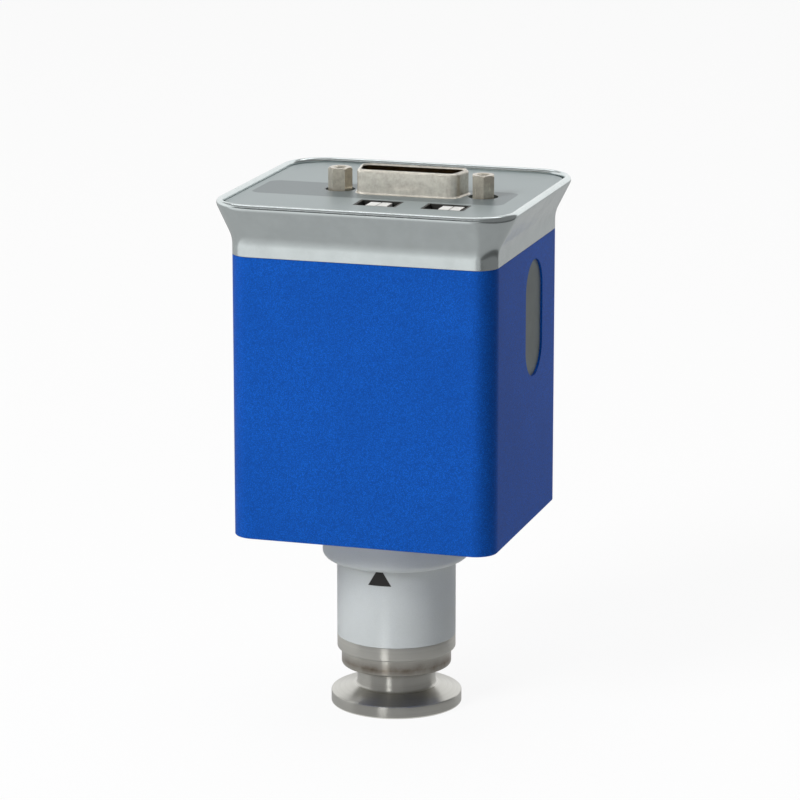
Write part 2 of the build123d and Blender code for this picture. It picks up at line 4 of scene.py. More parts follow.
import bpy
from bpy.props import FloatProperty, FloatVectorProperty, IntProperty, PointerProperty
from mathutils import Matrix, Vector


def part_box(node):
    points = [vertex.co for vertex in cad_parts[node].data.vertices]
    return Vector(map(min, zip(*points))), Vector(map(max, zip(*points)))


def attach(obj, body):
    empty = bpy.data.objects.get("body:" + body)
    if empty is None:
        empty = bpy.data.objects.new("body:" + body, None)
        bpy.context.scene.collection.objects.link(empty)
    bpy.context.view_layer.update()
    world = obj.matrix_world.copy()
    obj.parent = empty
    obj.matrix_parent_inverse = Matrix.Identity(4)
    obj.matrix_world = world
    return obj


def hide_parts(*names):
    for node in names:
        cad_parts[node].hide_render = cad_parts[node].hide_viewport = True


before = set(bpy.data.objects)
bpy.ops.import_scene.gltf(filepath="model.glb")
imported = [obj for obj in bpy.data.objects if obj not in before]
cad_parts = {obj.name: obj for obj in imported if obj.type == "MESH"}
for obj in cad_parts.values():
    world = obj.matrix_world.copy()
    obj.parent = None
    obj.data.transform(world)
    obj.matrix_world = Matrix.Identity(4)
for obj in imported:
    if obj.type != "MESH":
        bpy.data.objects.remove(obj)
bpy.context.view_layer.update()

bl_info = {
    "name": "Ionization gauge head",
    "version": (1, 0, 0),
    "blender": (4, 5, 0),
    "location": "3D Viewport > Sidebar > Gauge",
    "description": "Finishes and fine pieces of a hot cathode ionization gauge head",
    "category": "Add Mesh",
}

# Sizes are in millimetres and angles in degrees. Metres come in where an object is made.
MM = 0.001
ROOT = "root"


def low(node):
    """Low corner of a CAD node's box."""
    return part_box(node)[0] / MM


def high(node):
    """High corner of a CAD node's box."""
    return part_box(node)[1] / MM


def linear(red, green, blue):
    """Colour from screen values of 0 to 255."""
    def one(value):
        value /= 255
        return value / 12.92 if value <= 0.04045 else ((value + 0.055) / 1.055) ** 2.4
    return (one(red), one(green), one(blue), 1.0)


# Sizes of the finished pieces. Levels and outside sizes come from the CAD nodes.

# Shading: bends sharper than this stay sharp
CREASE = 32.0
TURNED_CREASE = 20.0
CAD_CREASE = 25.0

# Turned pieces: an edge that is only broken
FINE_EDGE = 0.1

# Most of a side that the rounding at one of its ends may take
SIDE_SHARE = 0.49

# Flange and neck
FLANGE_RADIUS = high("kf_flange").x
NECK_TOP = high("kf_flange").z
NECK_RADIUS = 9.0
NECK_FILLET = 0.6
BORE_RADIUS = 8.0
SEAT_RADIUS = 8.6
SEAT_DEPTH = 2.0
SEAT_EDGE = 0.15
FLANGE_RIM = 2.8
FLANGE_TAPER = 15.0
FACE_EDGE = 0.2
TAPER_EDGE = 0.35
FLANGE_WELD = (7.5, 11.5)

# Envelope and its bare band
ENVELOPE_BOTTOM = low("sensor_envelope").z
ENVELOPE_TOP = high("sensor_envelope").z
BAND_RADIUS = high("sensor_envelope").x
ENVELOPE_RADIUS = 12.6
ENVELOPE_WALL = 1.0
ENVELOPE_EDGE = 0.55
ENVELOPE_FILLET = 0.4
BAND_BOTTOM = 13.1
BAND_EDGE = 0.35
STEP_EDGE = 0.12
NECK_GAP = 0.01
ENVELOPE_WELD = (8.4, 12.9)

# Sleeve and collar
SLEEVE_BOTTOM = low("sensor_housing").z
SLEEVE_TOP = high("sensor_housing").z
COLLAR_RADIUS = high("sensor_housing").x
COLLAR_HEIGHT = 9.05
COLLAR_ROUND = 2.2
COLLAR_FILLET = 0.6
COLLAR_TOP_EDGE = 0.05
SLEEVE_GAP = 0.05

# Black mark on the sleeve's front: a triangle with its tip cut off below the collar. The slope
# is the half angle round the axis that it gains for each millimetre below the apex.
MARK_TURN = 0.6
MARK_APEX = 35.6
MARK_SLOPE = 2.53
MARK_BASE = 30.9
MARK_CUT = 34.6
MARK_SOFTNESS = 0.006
MARK_COLOUR = linear(30, 28, 27)

# Case and bezel
CASE_WIDTH = high("case").x - low("case").x
CASE_DEPTH = high("case").y - low("case").y
CASE_TOP = high("case").z
CASE_CORNER = 5.0
RIM_SPREAD = high("bezel").x - high("case").x
RIM_ABOVE_PANEL = 1.0
RIM_CORNER = 10.5
RIM_BLEND_RADIUS = 1.6
RIM_BEAD_RADIUS = 0.85
BEZEL_STRAIGHT = 2.2
BEZEL_FLARE_ANGLE = 28.0
BEZEL_WALL = 2.0
BEZEL_CREASE = 50.0
FOOT_EDGE = 0.16
FOOT_EDGE_MIDDLE = 0.05
INNER_CORNER_REACH = 0.3
FLARE_STEPS = 22
BLEND_STEPS = 8
BEAD_STEPS = 18
RIM_CORNER_STEPS = 14

# Panel and the stripe printed on it
PANEL_TOP = high("top_panel").z
PANEL_BOTTOM = low("top_panel").z
STRIPE_X = -1.65
STRIPE_Y = -3.4
STRIPE_WIDTH = 58.5
STRIPE_DEPTH = 16.2
STRIPE_CORNER = 2.5
STRIPE_SOFTNESS = 0.12

# Plug
SHELL_LOW = low("connector_front_shell")
SHELL_HIGH = high("connector_front_shell")
PLUG_X = (SHELL_LOW.x + SHELL_HIGH.x) / 2
PLUG_Y = (SHELL_LOW.y + SHELL_HIGH.y) / 2
EAR_LENGTH = SHELL_HIGH.x - SHELL_LOW.x
EAR_WIDTH = SHELL_HIGH.y - SHELL_LOW.y
EAR_CORNER = 1.0
EAR_THICKNESS = 0.8
SHELL_WIDTH = 26.2
SHELL_DEPTH = 9.2
SHELL_SIDE_ANGLE = 10.0
SHELL_CORNER = 2.6
SHELL_WALL = 0.8
SHELL_LIP = 0.7
SHELL_FOOT = 0.45
SHELL_CREASE = 40.0
QUARTER_STEPS = 6

# Pins, with the tip as radius and distance below the top
PIN_TOP = high("connector_pins").z
PIN_BOTTOM = low("connector_pins").z
PIN_RADIUS = 0.5
PIN_TIP = ((0.08, 0.0), (0.24, 0.06), (0.38, 0.25), (0.47, 0.6), (PIN_RADIUS, 1.1))
PIN_TAIL_HEIGHT = 0.2
PIN_TAIL_TAPER = 0.15
PIN_SIDES = 20
PIN_PITCH = 2.77
PIN_ROW_GAP = 2.84
PIN_BACK_ROW = 8

# Jack posts
POST_TOP = high("jack_posts").z
POST_BOTTOM = low("jack_posts").z
POST_SHOULDER = PANEL_BOTTOM
POST_SPACING = 33.32
POST_FLATS = 4.76
POST_CHAMFER = 0.35
POST_TURNS = (9.7, 46.7)
POST_CREASE = 28.0
STUD_RADIUS = 1.4
STUD_CHAMFER = 0.2
THREAD_RADIUS = 1.2
THREAD_HEIGHT = 0.2
THREAD_DEPTH = 4.5
THREAD_MOUTH = 0.28
THREAD_START = 0.3
THREAD_END = 0.3
RINGS_PER_TURN = 6
HOLE_POINT_HEIGHT = 0.1
TIP_RADIUS = 0.02

# Grid and filaments
GRID_BOTTOM = low("grid_coil").z
GRID_TOP = high("grid_coil").z
GRID_RADIUS = 4.8
GRID_TURNS = 6
GRID_STEPS_PER_TURN = 40
FILAMENT_CIRCLE = 8.2
FILAMENT_SPREAD = 25.0
FILAMENT_OFFSET = 1.8
FILAMENT_RADIUS = 0.14
FILAMENT_BEND = 0.5
FILAMENT_TOP_GAP = 0.1
FILAMENT_SHORT_LEG = 1.5
FILAMENT_SPAN = (3.0, 13.0)
FILAMENT_FOOT_GAP = 0.15
FILAMENT_LONG_LEG = 3.0


# Stage

class Lamp(NamedTuple):
    """Square lamp that is turned to LAMP_AIM."""
    name: str
    place: tuple
    side: float
    watts: float


class Card(NamedTuple):
    """Glowing sheet between two corners that only reflections show, unless it shades as well.

    A fade takes its grey to another one between two distances from the axis.
    """
    name: str
    low: tuple
    high: tuple
    grey: float
    fade: tuple = ()
    shades: bool = False


FLOOR_SIDE = 8000.0
FLOOR_DROP = 0.2
FLOOR_GLOW = 0.92
ROOM_LIGHT = 0.12

# Camera that the photograph's outline fits, with its near and far limits in metres
CAMERA_TARGET = (0.843, 0.0, 71.115)
CAMERA_DISTANCE = 873.38
CAMERA_AZIMUTH = 17.037
CAMERA_ELEVATION = 13.53
CAMERA_LENS = 173.38
CAMERA_SENSOR = 36.0
CAMERA_NEAR = 0.05
CAMERA_FAR = 20.0

LAMP_AIM = (0.0, 0.0, 70.0)
LAMPS = (
    Lamp("front_left", (-750.0, -1450.0, 1150.0), 700.0, 34.0),
    Lamp("overhead", (-100.0, 200.0, 1700.0), 1100.0, 11.0),
)
CARDS = (
    Card("table", (-900.0, -900.0, 0.3), (900.0, 900.0, 0.3), 0.43),
    Card("front_table", (-700.0, -1000.0, 0.6), (90.0, -110.0, 0.6), 0.43, fade=(110.0, 380.0, 0.86)),
    Card("right_table", (62.0, -220.0, 0.6), (170.0, 200.0, 0.6), 0.34),
    Card("neck_light", (-5.5, -40.0, -1.0), (2.0, -40.0, 9.0), 3.0),
    Card("front_wall", (-2500.0, -1200.0, 60.0), (2500.0, -1200.0, 800.0), 0.08),
    Card("right_wall", (170.0, -260.0, 0.0), (170.0, 200.0, 55.0), 0.08, shades=True),
    Card("right_wall_top", (170.0, -260.0, 55.0), (170.0, 200.0, 300.0), 0.2, shades=True),
    Card("ceiling", (-2500.0, -1800.0, 1500.0), (2500.0, 1400.0, 1500.0), 0.35),
    Card("softbox", (-1200.0, 250.0, 1450.0), (1200.0, 700.0, 1450.0), 2.2),
)


# Outlines and meshes

def rounded(corners, steps=6):
    """Points of an outline through corners, each given with the radius that it gets.

    A rounding takes a little less than half of the shorter side beside it.
    """
    points = []
    for number, (corner, radius) in enumerate(corners):
        corner = Vector(corner)
        if not radius:
            points.append(corner)
            continue
        before = Vector(corners[number - 1][0]) - corner
        after = Vector(corners[(number + 1) % len(corners)][0]) - corner
        half = before.angle(after) / 2
        longest = SIDE_SHARE * min(before.length, after.length)
        reach = min(radius / tan(half), longest)
        before.normalize()
        after.normalize()
        centre = corner + (before + after).normalized() * reach / cos(half)
        start = (corner + before * reach - centre).normalized()
        end = (corner + after * reach - centre).normalized()
        radius = reach * tan(half)
        points += [centre + start.slerp(end, step / steps) * radius for step in range(steps + 1)]
    return points


def bridge(loops, ring=False):
    """Quads between loops of as many points each. A ring joins the last loop to the first."""
    count = len(loops[0])
    vertices = [point for loop in loops for point in loop]
    faces = []
    for lower in range(len(loops) if ring else len(loops) - 1):
        upper = (lower + 1) % len(loops)
        for near in range(count):
            far = (near + 1) % count
            faces.append((lower * count + near, lower * count + far,
                          upper * count + far, upper * count + near))
    return vertices, faces


def capped(loops):
    """Quads between loops, with the first and the last one closed by a face."""
    vertices, faces = bridge(loops)
    count = len(loops[0])
    last = len(vertices) - count
    faces.append(tuple(reversed(range(count))))
    faces.append(tuple(range(last, last + count)))
    return vertices, faces


def circle(radius, z, segments, x=0.0, y=0.0):
    """Points of a level circle, counter-clockwise from above."""
    angles = [2 * pi * number / segments for number in range(segments)]
    return [Vector((x + radius * cos(angle), y + radius * sin(angle), z)) for angle in angles]


def turned(corners, segments):
    """Ring turned about the axis from corners of radius and height, each with its rounding.

    The corners go up the outer wall and down the inner one.
    """
    return bridge([circle(point.x, point.y, segments) for point in rounded(corners)], ring=True)


def rectangle_loop(width, depth, corner, z, steps=10):
    """Points round a rounded rectangle about the axis, counter-clockwise from the front left."""
    x, y = width / 2, depth / 2
    outline = rounded([((-x, -y), corner), ((x, -y), corner), ((x, y), corner), ((-x, y), corner)],
                      steps)
    return [Vector((point.x, point.y, z)) for point in outline]


def tube(points, radius, sides=8):
    """Round wire along a line of points, closed at both ends."""
    loops = []
    across = (points[1] - points[0]).orthogonal()
    for number, point in enumerate(points):
        ahead = points[min(number + 1, len(points) - 1)] - points[max(number - 1, 0)]
        across = (across - across.project(ahead)).normalized()
        upward = ahead.normalized().cross(across)
        loops.append([point + (across * cos(2 * pi * side / sides)
                               + upward * sin(2 * pi * side / sides)) * radius
                      for side in range(sides)])
    return capped(loops)


def merged(solids):
    """Several meshes as one list of vertices and faces."""
    vertices, faces = [], []
    for more_vertices, more_faces in solids:
        start = len(vertices)
        vertices += more_vertices
        faces += [tuple(start + index for index in face) for face in more_faces]
    return vertices, faces


def add_piece(name, mesh_data, material, nodes, crease=CREASE, even_normals=False):
    """Makes a piece from vertices and faces, on the frame's body, in place of the CAD nodes."""
    vertices, faces = mesh_data
    mesh = bpy.data.meshes.new(name)
    mesh.from_pydata([vertex * MM for vertex in vertices], [], faces)
    mesh.validate()
    mesh.shade_smooth()
    mesh.set_sharp_from_angle(angle=radians(crease))
    mesh.materials.append(material)
    piece = bpy.data.objects.new(name, mesh)
    bpy.context.scene.collection.objects.link(piece)
    if even_normals:
        weighted = piece.modifiers.new("Even normals", "WEIGHTED_NORMAL")
        weighted.keep_sharp = True
    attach(piece, ROOT)
    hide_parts(*nodes)
    return piece


def dress(material, *nodes):
    """Gives CAD nodes a material, with soft shading across their gently bent edges."""
    for name in nodes:
        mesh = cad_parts[name].data
        mesh.materials.clear()
        mesh.materials.append(material)
        mesh.shade_smooth()
        mesh.set_sharp_from_angle(angle=radians(CAD_CREASE))


def add_sheet(name, corners, material):
    """Flat four-cornered sheet for the stage."""
    mesh = bpy.data.meshes.new(name)
    mesh.from_pydata([Vector(corner) * MM for corner in corners], [], [(0, 1, 2, 3)])
    mesh.materials.append(material)
    sheet = bpy.data.objects.new(name, mesh)
    bpy.context.scene.collection.objects.link(sheet)
    return sheet


def facing(direction):
    """Turn of a lamp or camera that looks in a direction."""
    return direction.to_track_quat("-Z", "Y").to_euler()


# Nodes

def add_node(tree, kind, inputs=None, **settings):
    """Adds a node. An input is a number, a colour or the socket that feeds it."""
    node = tree.nodes.new(kind)
    for key, value in settings.items():
        setattr(node, key, value)
    for key, value in (inputs or {}).items():
        if isinstance(value, bpy.types.NodeSocket):
            tree.links.new(value, node.inputs[key])
        else:
            node.inputs[key].default_value = value
    return node


def maths(tree, operation, first, second=0.0):
    """Result of a sum on one or two numbers or sockets."""
    return add_node(tree, "ShaderNodeMath", {0: first, 1: second}, operation=operation).outputs[0]


def between(tree, value, start, end, to_start=0.0, to_end=1.0):
    """Value taken from one range to another and held at its ends."""
    node = add_node(tree, "ShaderNodeMapRange", {
        "Value": value, "From Min": start, "From Max": end, "To Min": to_start, "To Max": to_end})
    return node.outputs["Result"]


def blended(tree, factor, first, second):
    """Colour between two, by a factor."""
    node = add_node(tree, "ShaderNodeMix", data_type="RGBA")
    for socket, value in (("Factor_Float", factor), ("A_Color", first), ("B_Color", second)):
        target = next(one for one in node.inputs if one.identifier == socket)
        if isinstance(value, bpy.types.NodeSocket):
            tree.links.new(value, target)
        else:
            target.default_value = value
    return next(one for one in node.outputs if one.identifier == "Result_Color")


def opaque(colour):
    """Colour of a setting, with the alpha that a socket wants."""
    return (*colour, 1.0)


def scaled(colour, factor):
    """Colour made darker or lighter."""
    return opaque(min(part * factor, 1.0) for part in colour[:3])


def mottled(tree, colour, pattern, start, end, darker, lighter):
    """Colour that goes from darker to lighter as a pattern goes from start to end."""
    return blended(tree, between(tree, pattern, start, end), scaled(colour, darker),
                   scaled(colour, lighter))


def new_material(name, **surface):
    """Material with a surface shader whose plain sockets are set by their names."""
    material = bpy.data.materials.new(name)
    material.use_nodes = True
    shader = material.node_tree.nodes["Principled BSDF"]
    for socket, value in surface.items():
        shader.inputs[socket.replace("_", " ")].default_value = value
    return material, material.node_tree, shader


def feed(tree, shader, **sockets):
    """Links sockets to the surface shader's inputs by their names."""
    for name, socket in sockets.items():
        tree.links.new(socket, shader.inputs[name.replace("_", " ")])


def place(tree):
    """Place on the object, in millimetres."""
    here = add_node(tree, "ShaderNodeTexCoord").outputs["Object"]
    node = add_node(tree, "ShaderNodeVectorMath", {0: here, "Scale": 1 / MM}, operation="SCALE")
    return node.outputs[0]


def parts(tree, vector):
    """The three parts of a vector."""
    node = add_node(tree, "ShaderNodeSeparateXYZ", {0: vector})
    return node.outputs["X"], node.outputs["Y"], node.outputs["Z"]


def joined(tree, x, y):
    """Vector from two parts."""
    return add_node(tree, "ShaderNodeCombineXYZ", {0: x, 1: y}).outputs[0]


def length(tree, vector):
    """Length of a vector."""
    node = add_node(tree, "ShaderNodeVectorMath", {0: vector}, operation="LENGTH")
    return node.outputs["Value"]


def noise(tree, vector, scale, detail=2.0, roughness=0.5):
    node = add_node(tree, "ShaderNodeTexNoise", {
        "Vector": vector, "Scale": scale, "Detail": detail, "Roughness": roughness})
    return node.outputs[0]


def stretched(tree, vector, factors):
    """Place squeezed or drawn out along each axis, for grain that runs one way."""
    node = add_node(tree, "ShaderNodeVectorMath", {0: vector, 1: factors}, operation="MULTIPLY")
    return node.outputs[0]


def bumped(tree, shader, height, distance, strength):
    """Raises the surface by a height of 0 to 1 times a distance in millimetres."""
    bump = add_node(tree, "ShaderNodeBump", {
        "Height": height, "Distance": distance * MM, "Strength": strength})
    feed(tree, shader, Normal=bump.outputs[0])


def looked_at(tree):
    """1 for rays that show a surface or mirror it, and 0 for those that gather its light."""
    light = add_node(tree, "ShaderNodeLightPath")
    seen = maths(tree, "MAXIMUM", light.outputs["Is Camera Ray"], light.outputs["Is Glossy Ray"])
    return maths(tree, "MAXIMUM", seen, light.outputs["Is Transmission Ray"])


# Materials

def turned_steel(name, colour, roughness, metallic=1.0, weld=(), tint=None):
    """Steel with the fine rings of a lathe, tinted by heat between the heights of a weld."""
    material, tree, shader = new_material(name, Metallic=metallic, Anisotropic=0.92,
                                          Anisotropic_Rotation=0.25)
    vector = place(tree)
    x, y, z = parts(tree, vector)
    rings = joined(tree, length(tree, joined(tree, x, y)), z)
    fine = noise(tree, rings, 4.0, detail=3.0, roughness=0.7)
    broad = noise(tree, rings, 1.6)
    steel = mottled(tree, colour, fine, 0.25, 0.75, 0.92, 1.06)
    if weld:
        middle, half = sum(weld) / 2, (weld[1] - weld[0]) / 2
        stain = noise(tree, vector, 0.35, detail=3.0)
        away = maths(tree, "ABSOLUTE", maths(tree, "SUBTRACT", z, middle))
        heat = maths(tree, "MULTIPLY", between(tree, away, half, 0.0),
                     between(tree, stain, 0.3, 0.7, 0.5, 1.0))
        steel = blended(tree, heat, steel, tint)
    tangent = add_node(tree, "ShaderNodeTangent", direction_type="RADIAL", axis="Z")
    feed(tree, shader, Base_Color=steel, Tangent=tangent.outputs[0],
         Roughness=between(tree, broad, 0.2, 0.8, roughness - 0.06, roughness + 0.08))
    bumped(tree, shader, fine, 0.006, 0.25)
    return material


def sleeve_paint(settings):
    """Silver-grey paint with a fine grain, and the black mark that shows how the head stands."""
    material, tree, shader = new_material("sleeve_paint")
    vector = place(tree)
    grain = noise(tree, vector, 5.5, detail=3.0, roughness=0.6)
    cloud = noise(tree, vector, 0.12)
    colour = opaque(settings.sleeve_colour)
    paint = mottled(tree, colour, grain, 0.25, 0.75, 0.93, 1.06)
    paint = blended(tree, between(tree, cloud, 0.3, 0.7, 0.0, 0.3), paint, scaled(colour, 0.9))
    mark = sleeve_mark(tree, vector)
    metal = maths(tree, "MULTIPLY", maths(tree, "SUBTRACT", 1.0, mark), 0.15)
    feed(tree, shader, Base_Color=blended(tree, mark, paint, MARK_COLOUR), Metallic=metal,
         Roughness=between(tree, grain, 0.2, 0.8, 0.3, 0.4))
    bumped(tree, shader, grain, 0.01, 0.35)
    return material


def sleeve_mark(tree, vector):
    """1 inside the black mark and 0 beside it."""
    x, y, z = parts(tree, vector)
    turn = maths(tree, "ARCTAN2", x, maths(tree, "MULTIPLY", y, -1))
    angle = maths(tree, "ABSOLUTE", maths(tree, "SUBTRACT", turn, radians(MARK_TURN)))
    limit = maths(tree, "MULTIPLY", maths(tree, "SUBTRACT", MARK_APEX, z), radians(MARK_SLOPE))
    soft_height = MARK_SOFTNESS * BAND_RADIUS
    inside = between(tree, maths(tree, "SUBTRACT", limit, angle), 0.0, MARK_SOFTNESS)
    above = between(tree, z, MARK_BASE, MARK_BASE + soft_height)
    below = between(tree, z, MARK_CUT + soft_height, MARK_CUT)
    return maths(tree, "MULTIPLY", maths(tree, "MULTIPLY", inside, above), below)


def case_paint(settings):
    """Blue metallic finish: a coloured coat with bright and dark flakes in it."""
    material, tree, shader = new_material("case_blue", Metallic=0.72, Specular_IOR_Level=0.4,
                                          Specular_Tint=(0.75, 0.75, 0.8, 1.0))
    vector = place(tree)
    flakes = noise(tree, vector, 3.2, detail=4.0, roughness=0.75)
    cloud = noise(tree, vector, 0.06)
    specks = add_node(tree, "ShaderNodeTexVoronoi", {"Vector": vector, "Scale": 7.0})
    glint = between(tree, specks.outputs["Color"], 0.35, 0.75)
    colour = opaque(settings.case_colour)
    coat = mottled(tree, colour, flakes, 0.3, 0.7, 0.8, 1.15)
    coat = blended(tree, between(tree, glint, 0.55, 1.0, 0.0, 0.6), coat, scaled(colour, 2.1))
    coat = blended(tree, between(tree, cloud, 0.35, 0.65, 0.0, 0.25), coat, scaled(colour, 0.85))
    feed(tree, shader, Base_Color=coat, Roughness=between(tree, flakes, 0.25, 0.75, 0.4, 0.5))
    bumped(tree, shader, flakes, 0.03, 0.5)
    return material


def chrome(name, colour, roughness):
    """Bright plating with a faint waviness and handling marks."""
    material, tree, shader = new_material(name, Metallic=1.0)
    vector = place(tree)
    smudge = noise(tree, vector, 0.22, detail=4.0, roughness=0.6)
    wave = noise(tree, vector, 0.1, detail=1.0)
    feed(tree, shader,
         Base_Color=blended(tree, between(tree, smudge, 0.35, 0.75), colour, scaled(colour, 0.93)),
         Roughness=between(tree, smudge, 0.3, 0.8, roughness, roughness * 1.25))
    bumped(tree, shader, wave, 0.04, 0.25)
    return material


def panel_paint(settings):
    """Grey panel with a fine texture and a darker printed stripe across it."""
    material, tree, shader = new_material("panel_grey", Metallic=0.25)
    vector = place(tree)
    grain = noise(tree, vector, 7.0, roughness=0.6)
    paint = mottled(tree, opaque(settings.panel_colour), grain, 0.3, 0.7, 0.95, 1.05)
    printed = blended(tree, stripe(tree, vector), paint, opaque(settings.stripe_colour))
    feed(tree, shader, Base_Color=printed, Roughness=between(tree, grain, 0.2, 0.8, 0.34, 0.44))
    bumped(tree, shader, grain, 0.008, 0.3)
    return material


def stripe(tree, vector):
    """1 inside the panel's stripe, a rectangle with round corners, and 0 beside it."""
    x, y, z = parts(tree, vector)
    reaches = []
    for along, middle, size in ((x, STRIPE_X, STRIPE_WIDTH), (y, STRIPE_Y, STRIPE_DEPTH)):
        away = maths(tree, "ABSOLUTE", maths(tree, "SUBTRACT", along, middle))
        beyond = maths(tree, "SUBTRACT", away, size / 2 - STRIPE_CORNER)
        reaches.append(maths(tree, "MAXIMUM", beyond, 0.0))
    return between(tree, length(tree, joined(tree, *reaches)),
                   STRIPE_CORNER, STRIPE_CORNER - STRIPE_SOFTNESS)


def plated(name, colour, roughness, grain=(1.0, 1.0, 0.12), metallic=1.0):
    """Dull nickel, tin or gold plating with drawn streaks, blotches and small pits."""
    material, tree, shader = new_material(name, Metallic=metallic)
    vector = place(tree)
    streak = noise(tree, stretched(tree, vector, grain), 6.0, detail=4.0, roughness=0.65)
    blotch = noise(tree, vector, 0.9, detail=4.0, roughness=0.6)
    pits = noise(tree, vector, 11.0, roughness=0.7)
    worn = blended(tree, between(tree, blotch, 0.35, 0.7), colour, scaled(colour, 0.7))
    worn = blended(tree, between(tree, streak, 0.3, 0.75, 0.0, 0.4), worn, scaled(colour, 1.08))
    feed(tree, shader, Base_Color=worn,
         Roughness=between(tree, streak, 0.25, 0.75, roughness - 0.07, roughness + 0.1))
    bumped(tree, shader, maths(tree, "ADD", streak, maths(tree, "MULTIPLY", pits, 0.6)), 0.006, 0.3)
    return material


def moulded(name, colour, roughness=0.45, scale=4.0, depth=0.01):
    """Moulded plastic with a fine spark-eroded texture and slight changes of shade."""
    material, tree, shader = new_material(name)
    vector = place(tree)
    texture = noise(tree, vector, scale, detail=3.0, roughness=0.6)
    flow = noise(tree, vector, 0.25)
    shade = mottled(tree, colour, flow, 0.3, 0.7, 0.9, 1.08)
    shade = blended(tree, between(tree, texture, 0.3, 0.7, 0.0, 0.25), shade, scaled(colour, 1.2))
    feed(tree, shader, Base_Color=shade,
         Roughness=between(tree, texture, 0.2, 0.8, roughness - 0.06, roughness + 0.08))
    bumped(tree, shader, texture, depth, 0.4)
    return material


def bead_glass():
    """Sealing glass round the pins, with small bubbles."""
    material, tree, shader = new_material("bead_glass", Transmission_Weight=0.5, IOR=1.5)
    bubbles = add_node(tree, "ShaderNodeTexVoronoi", {"Vector": place(tree), "Scale": 3.0})
    depth = between(tree, bubbles.outputs["Distance"], 0.05, 0.4)
    feed(tree, shader,
         Base_Color=blended(tree, depth, linear(150, 175, 165), linear(60, 95, 88)),
         Roughness=between(tree, depth, 0.0, 1.0, 0.05, 0.14))
    return material


def circuit_board():
    """Green solder mask over copper tracks, with tinned pads."""
    material, tree, shader = new_material("circuit_board", Coat_Weight=0.4, Coat_Roughness=0.2)
    vector = place(tree)
    tracks = add_node(tree, "ShaderNodeTexBrick", {
        "Vector": vector, "Scale": 0.45, "Color1": linear(16, 88, 52), "Color2": linear(20, 98, 58),
        "Mortar": linear(30, 125, 74), "Mortar Size": 0.02})
    dots = add_node(tree, "ShaderNodeTexVoronoi", {
        "Vector": vector, "Scale": 0.5, "Randomness": 0.35})
    pad = between(tree, dots.outputs["Distance"], 0.17, 0.15)
    weave = noise(tree, vector, 5.0)
    feed(tree, shader,
         Base_Color=blended(tree, pad, tracks.outputs["Color"], linear(205, 205, 200)),
         Metallic=maths(tree, "MULTIPLY", pad, 0.9),
         Roughness=between(tree, weave, 0.2, 0.8, 0.3, 0.42))
    bumped(tree, shader, tracks.outputs["Fac"], 0.03, 0.4)
    return material


def wound_copper():
    """Enamelled copper wire in tight turns, darker in the grooves between them and lighter on their
    crowns: painted shade and painted highlight.
    """
    material, tree, shader = new_material("copper_winding", Metallic=0.9, Roughness=0.3)
    wires = add_node(tree, "ShaderNodeTexWave", {
        "Vector": place(tree), "Scale": 1.1, "Distortion": 0.3}, bands_direction="Z")
    turn_relief_and_shade = wires.outputs["Fac"]
    # The colour follows the turns, dark in the grooves and light on the crowns: painted shade and
    # painted highlight
    feed(tree, shader, Base_Color=blended(tree, turn_relief_and_shade, linear(104, 50, 22), linear(205, 120, 66)))
    bumped(tree, shader, turn_relief_and_shade, 0.1, 0.8)
    return material


# Pieces

class GAUGE_PG_settings(bpy.types.PropertyGroup):
    """Colours and sizes of the head that a user may want to change."""
    case_colour: FloatVectorProperty(
        name="Case", description="Coat of the case", subtype="COLOR", size=3,
        default=linear(20, 92, 197)[:3], min=0.0, max=1.0)
    sleeve_colour: FloatVectorProperty(
        name="Sleeve", description="Paint of the sleeve round the sensor", subtype="COLOR", size=3,
        default=linear(198, 203, 203)[:3], min=0.0, max=1.0)
    panel_colour: FloatVectorProperty(
        name="Panel", description="Paint of the top panel", subtype="COLOR", size=3,
        default=linear(147, 157, 158)[:3], min=0.0, max=1.0)
    stripe_colour: FloatVectorProperty(
        name="Stripe", description="Printed stripe across the top panel", subtype="COLOR", size=3,
        default=linear(112, 121, 123)[:3], min=0.0, max=1.0)
    thread_pitch: FloatProperty(
        name="Thread pitch", description="Pitch of the thread in the jack posts", unit="LENGTH",
        default=0.635 * MM, min=0.2 * MM, max=1.0 * MM)
    grid_wire: FloatProperty(
        name="Grid wire", description="Radius of the grid's wire", unit="LENGTH",
        default=0.24 * MM, min=0.05 * MM, max=0.25 * MM)
    turned_segments: IntProperty(
        name="Turned segments", description="Faces round each turned piece",
        default=144, min=48, max=256)


class GaugeOperator:
    """What the operators have in common."""
    bl_options = {"REGISTER", "UNDO"}

    @staticmethod
    def settings(context):
        return context.scene.gauge_settings


class GAUGE_OT_flange(GaugeOperator, bpy.types.Operator):
    """Add the clamped flange with its neck, turned in one piece"""
    bl_idname = "gauge.flange"
    bl_label = "Flange"

    def execute(self, context):
        cone_top = FLANGE_RIM + (FLANGE_RADIUS - NECK_RADIUS) * tan(radians(FLANGE_TAPER))
        corners = [
            ((SEAT_RADIUS, 0), SEAT_EDGE), ((FLANGE_RADIUS, 0), FACE_EDGE),
            ((FLANGE_RADIUS, FLANGE_RIM), TAPER_EDGE), ((NECK_RADIUS, cone_top), NECK_FILLET),
            ((NECK_RADIUS, NECK_TOP), FINE_EDGE), ((BORE_RADIUS, NECK_TOP), FINE_EDGE),
            ((BORE_RADIUS, SEAT_DEPTH), FINE_EDGE), ((SEAT_RADIUS, SEAT_DEPTH), FINE_EDGE),
        ]
        steel = turned_steel("flange_steel", linear(202, 201, 195), 0.31,
                             weld=FLANGE_WELD, tint=linear(130, 116, 96))
        mesh = turned(corners, self.settings(context).turned_segments)
        add_piece("flange", mesh, steel, ["kf_flange"], crease=TURNED_CREASE)
        return {"FINISHED"}


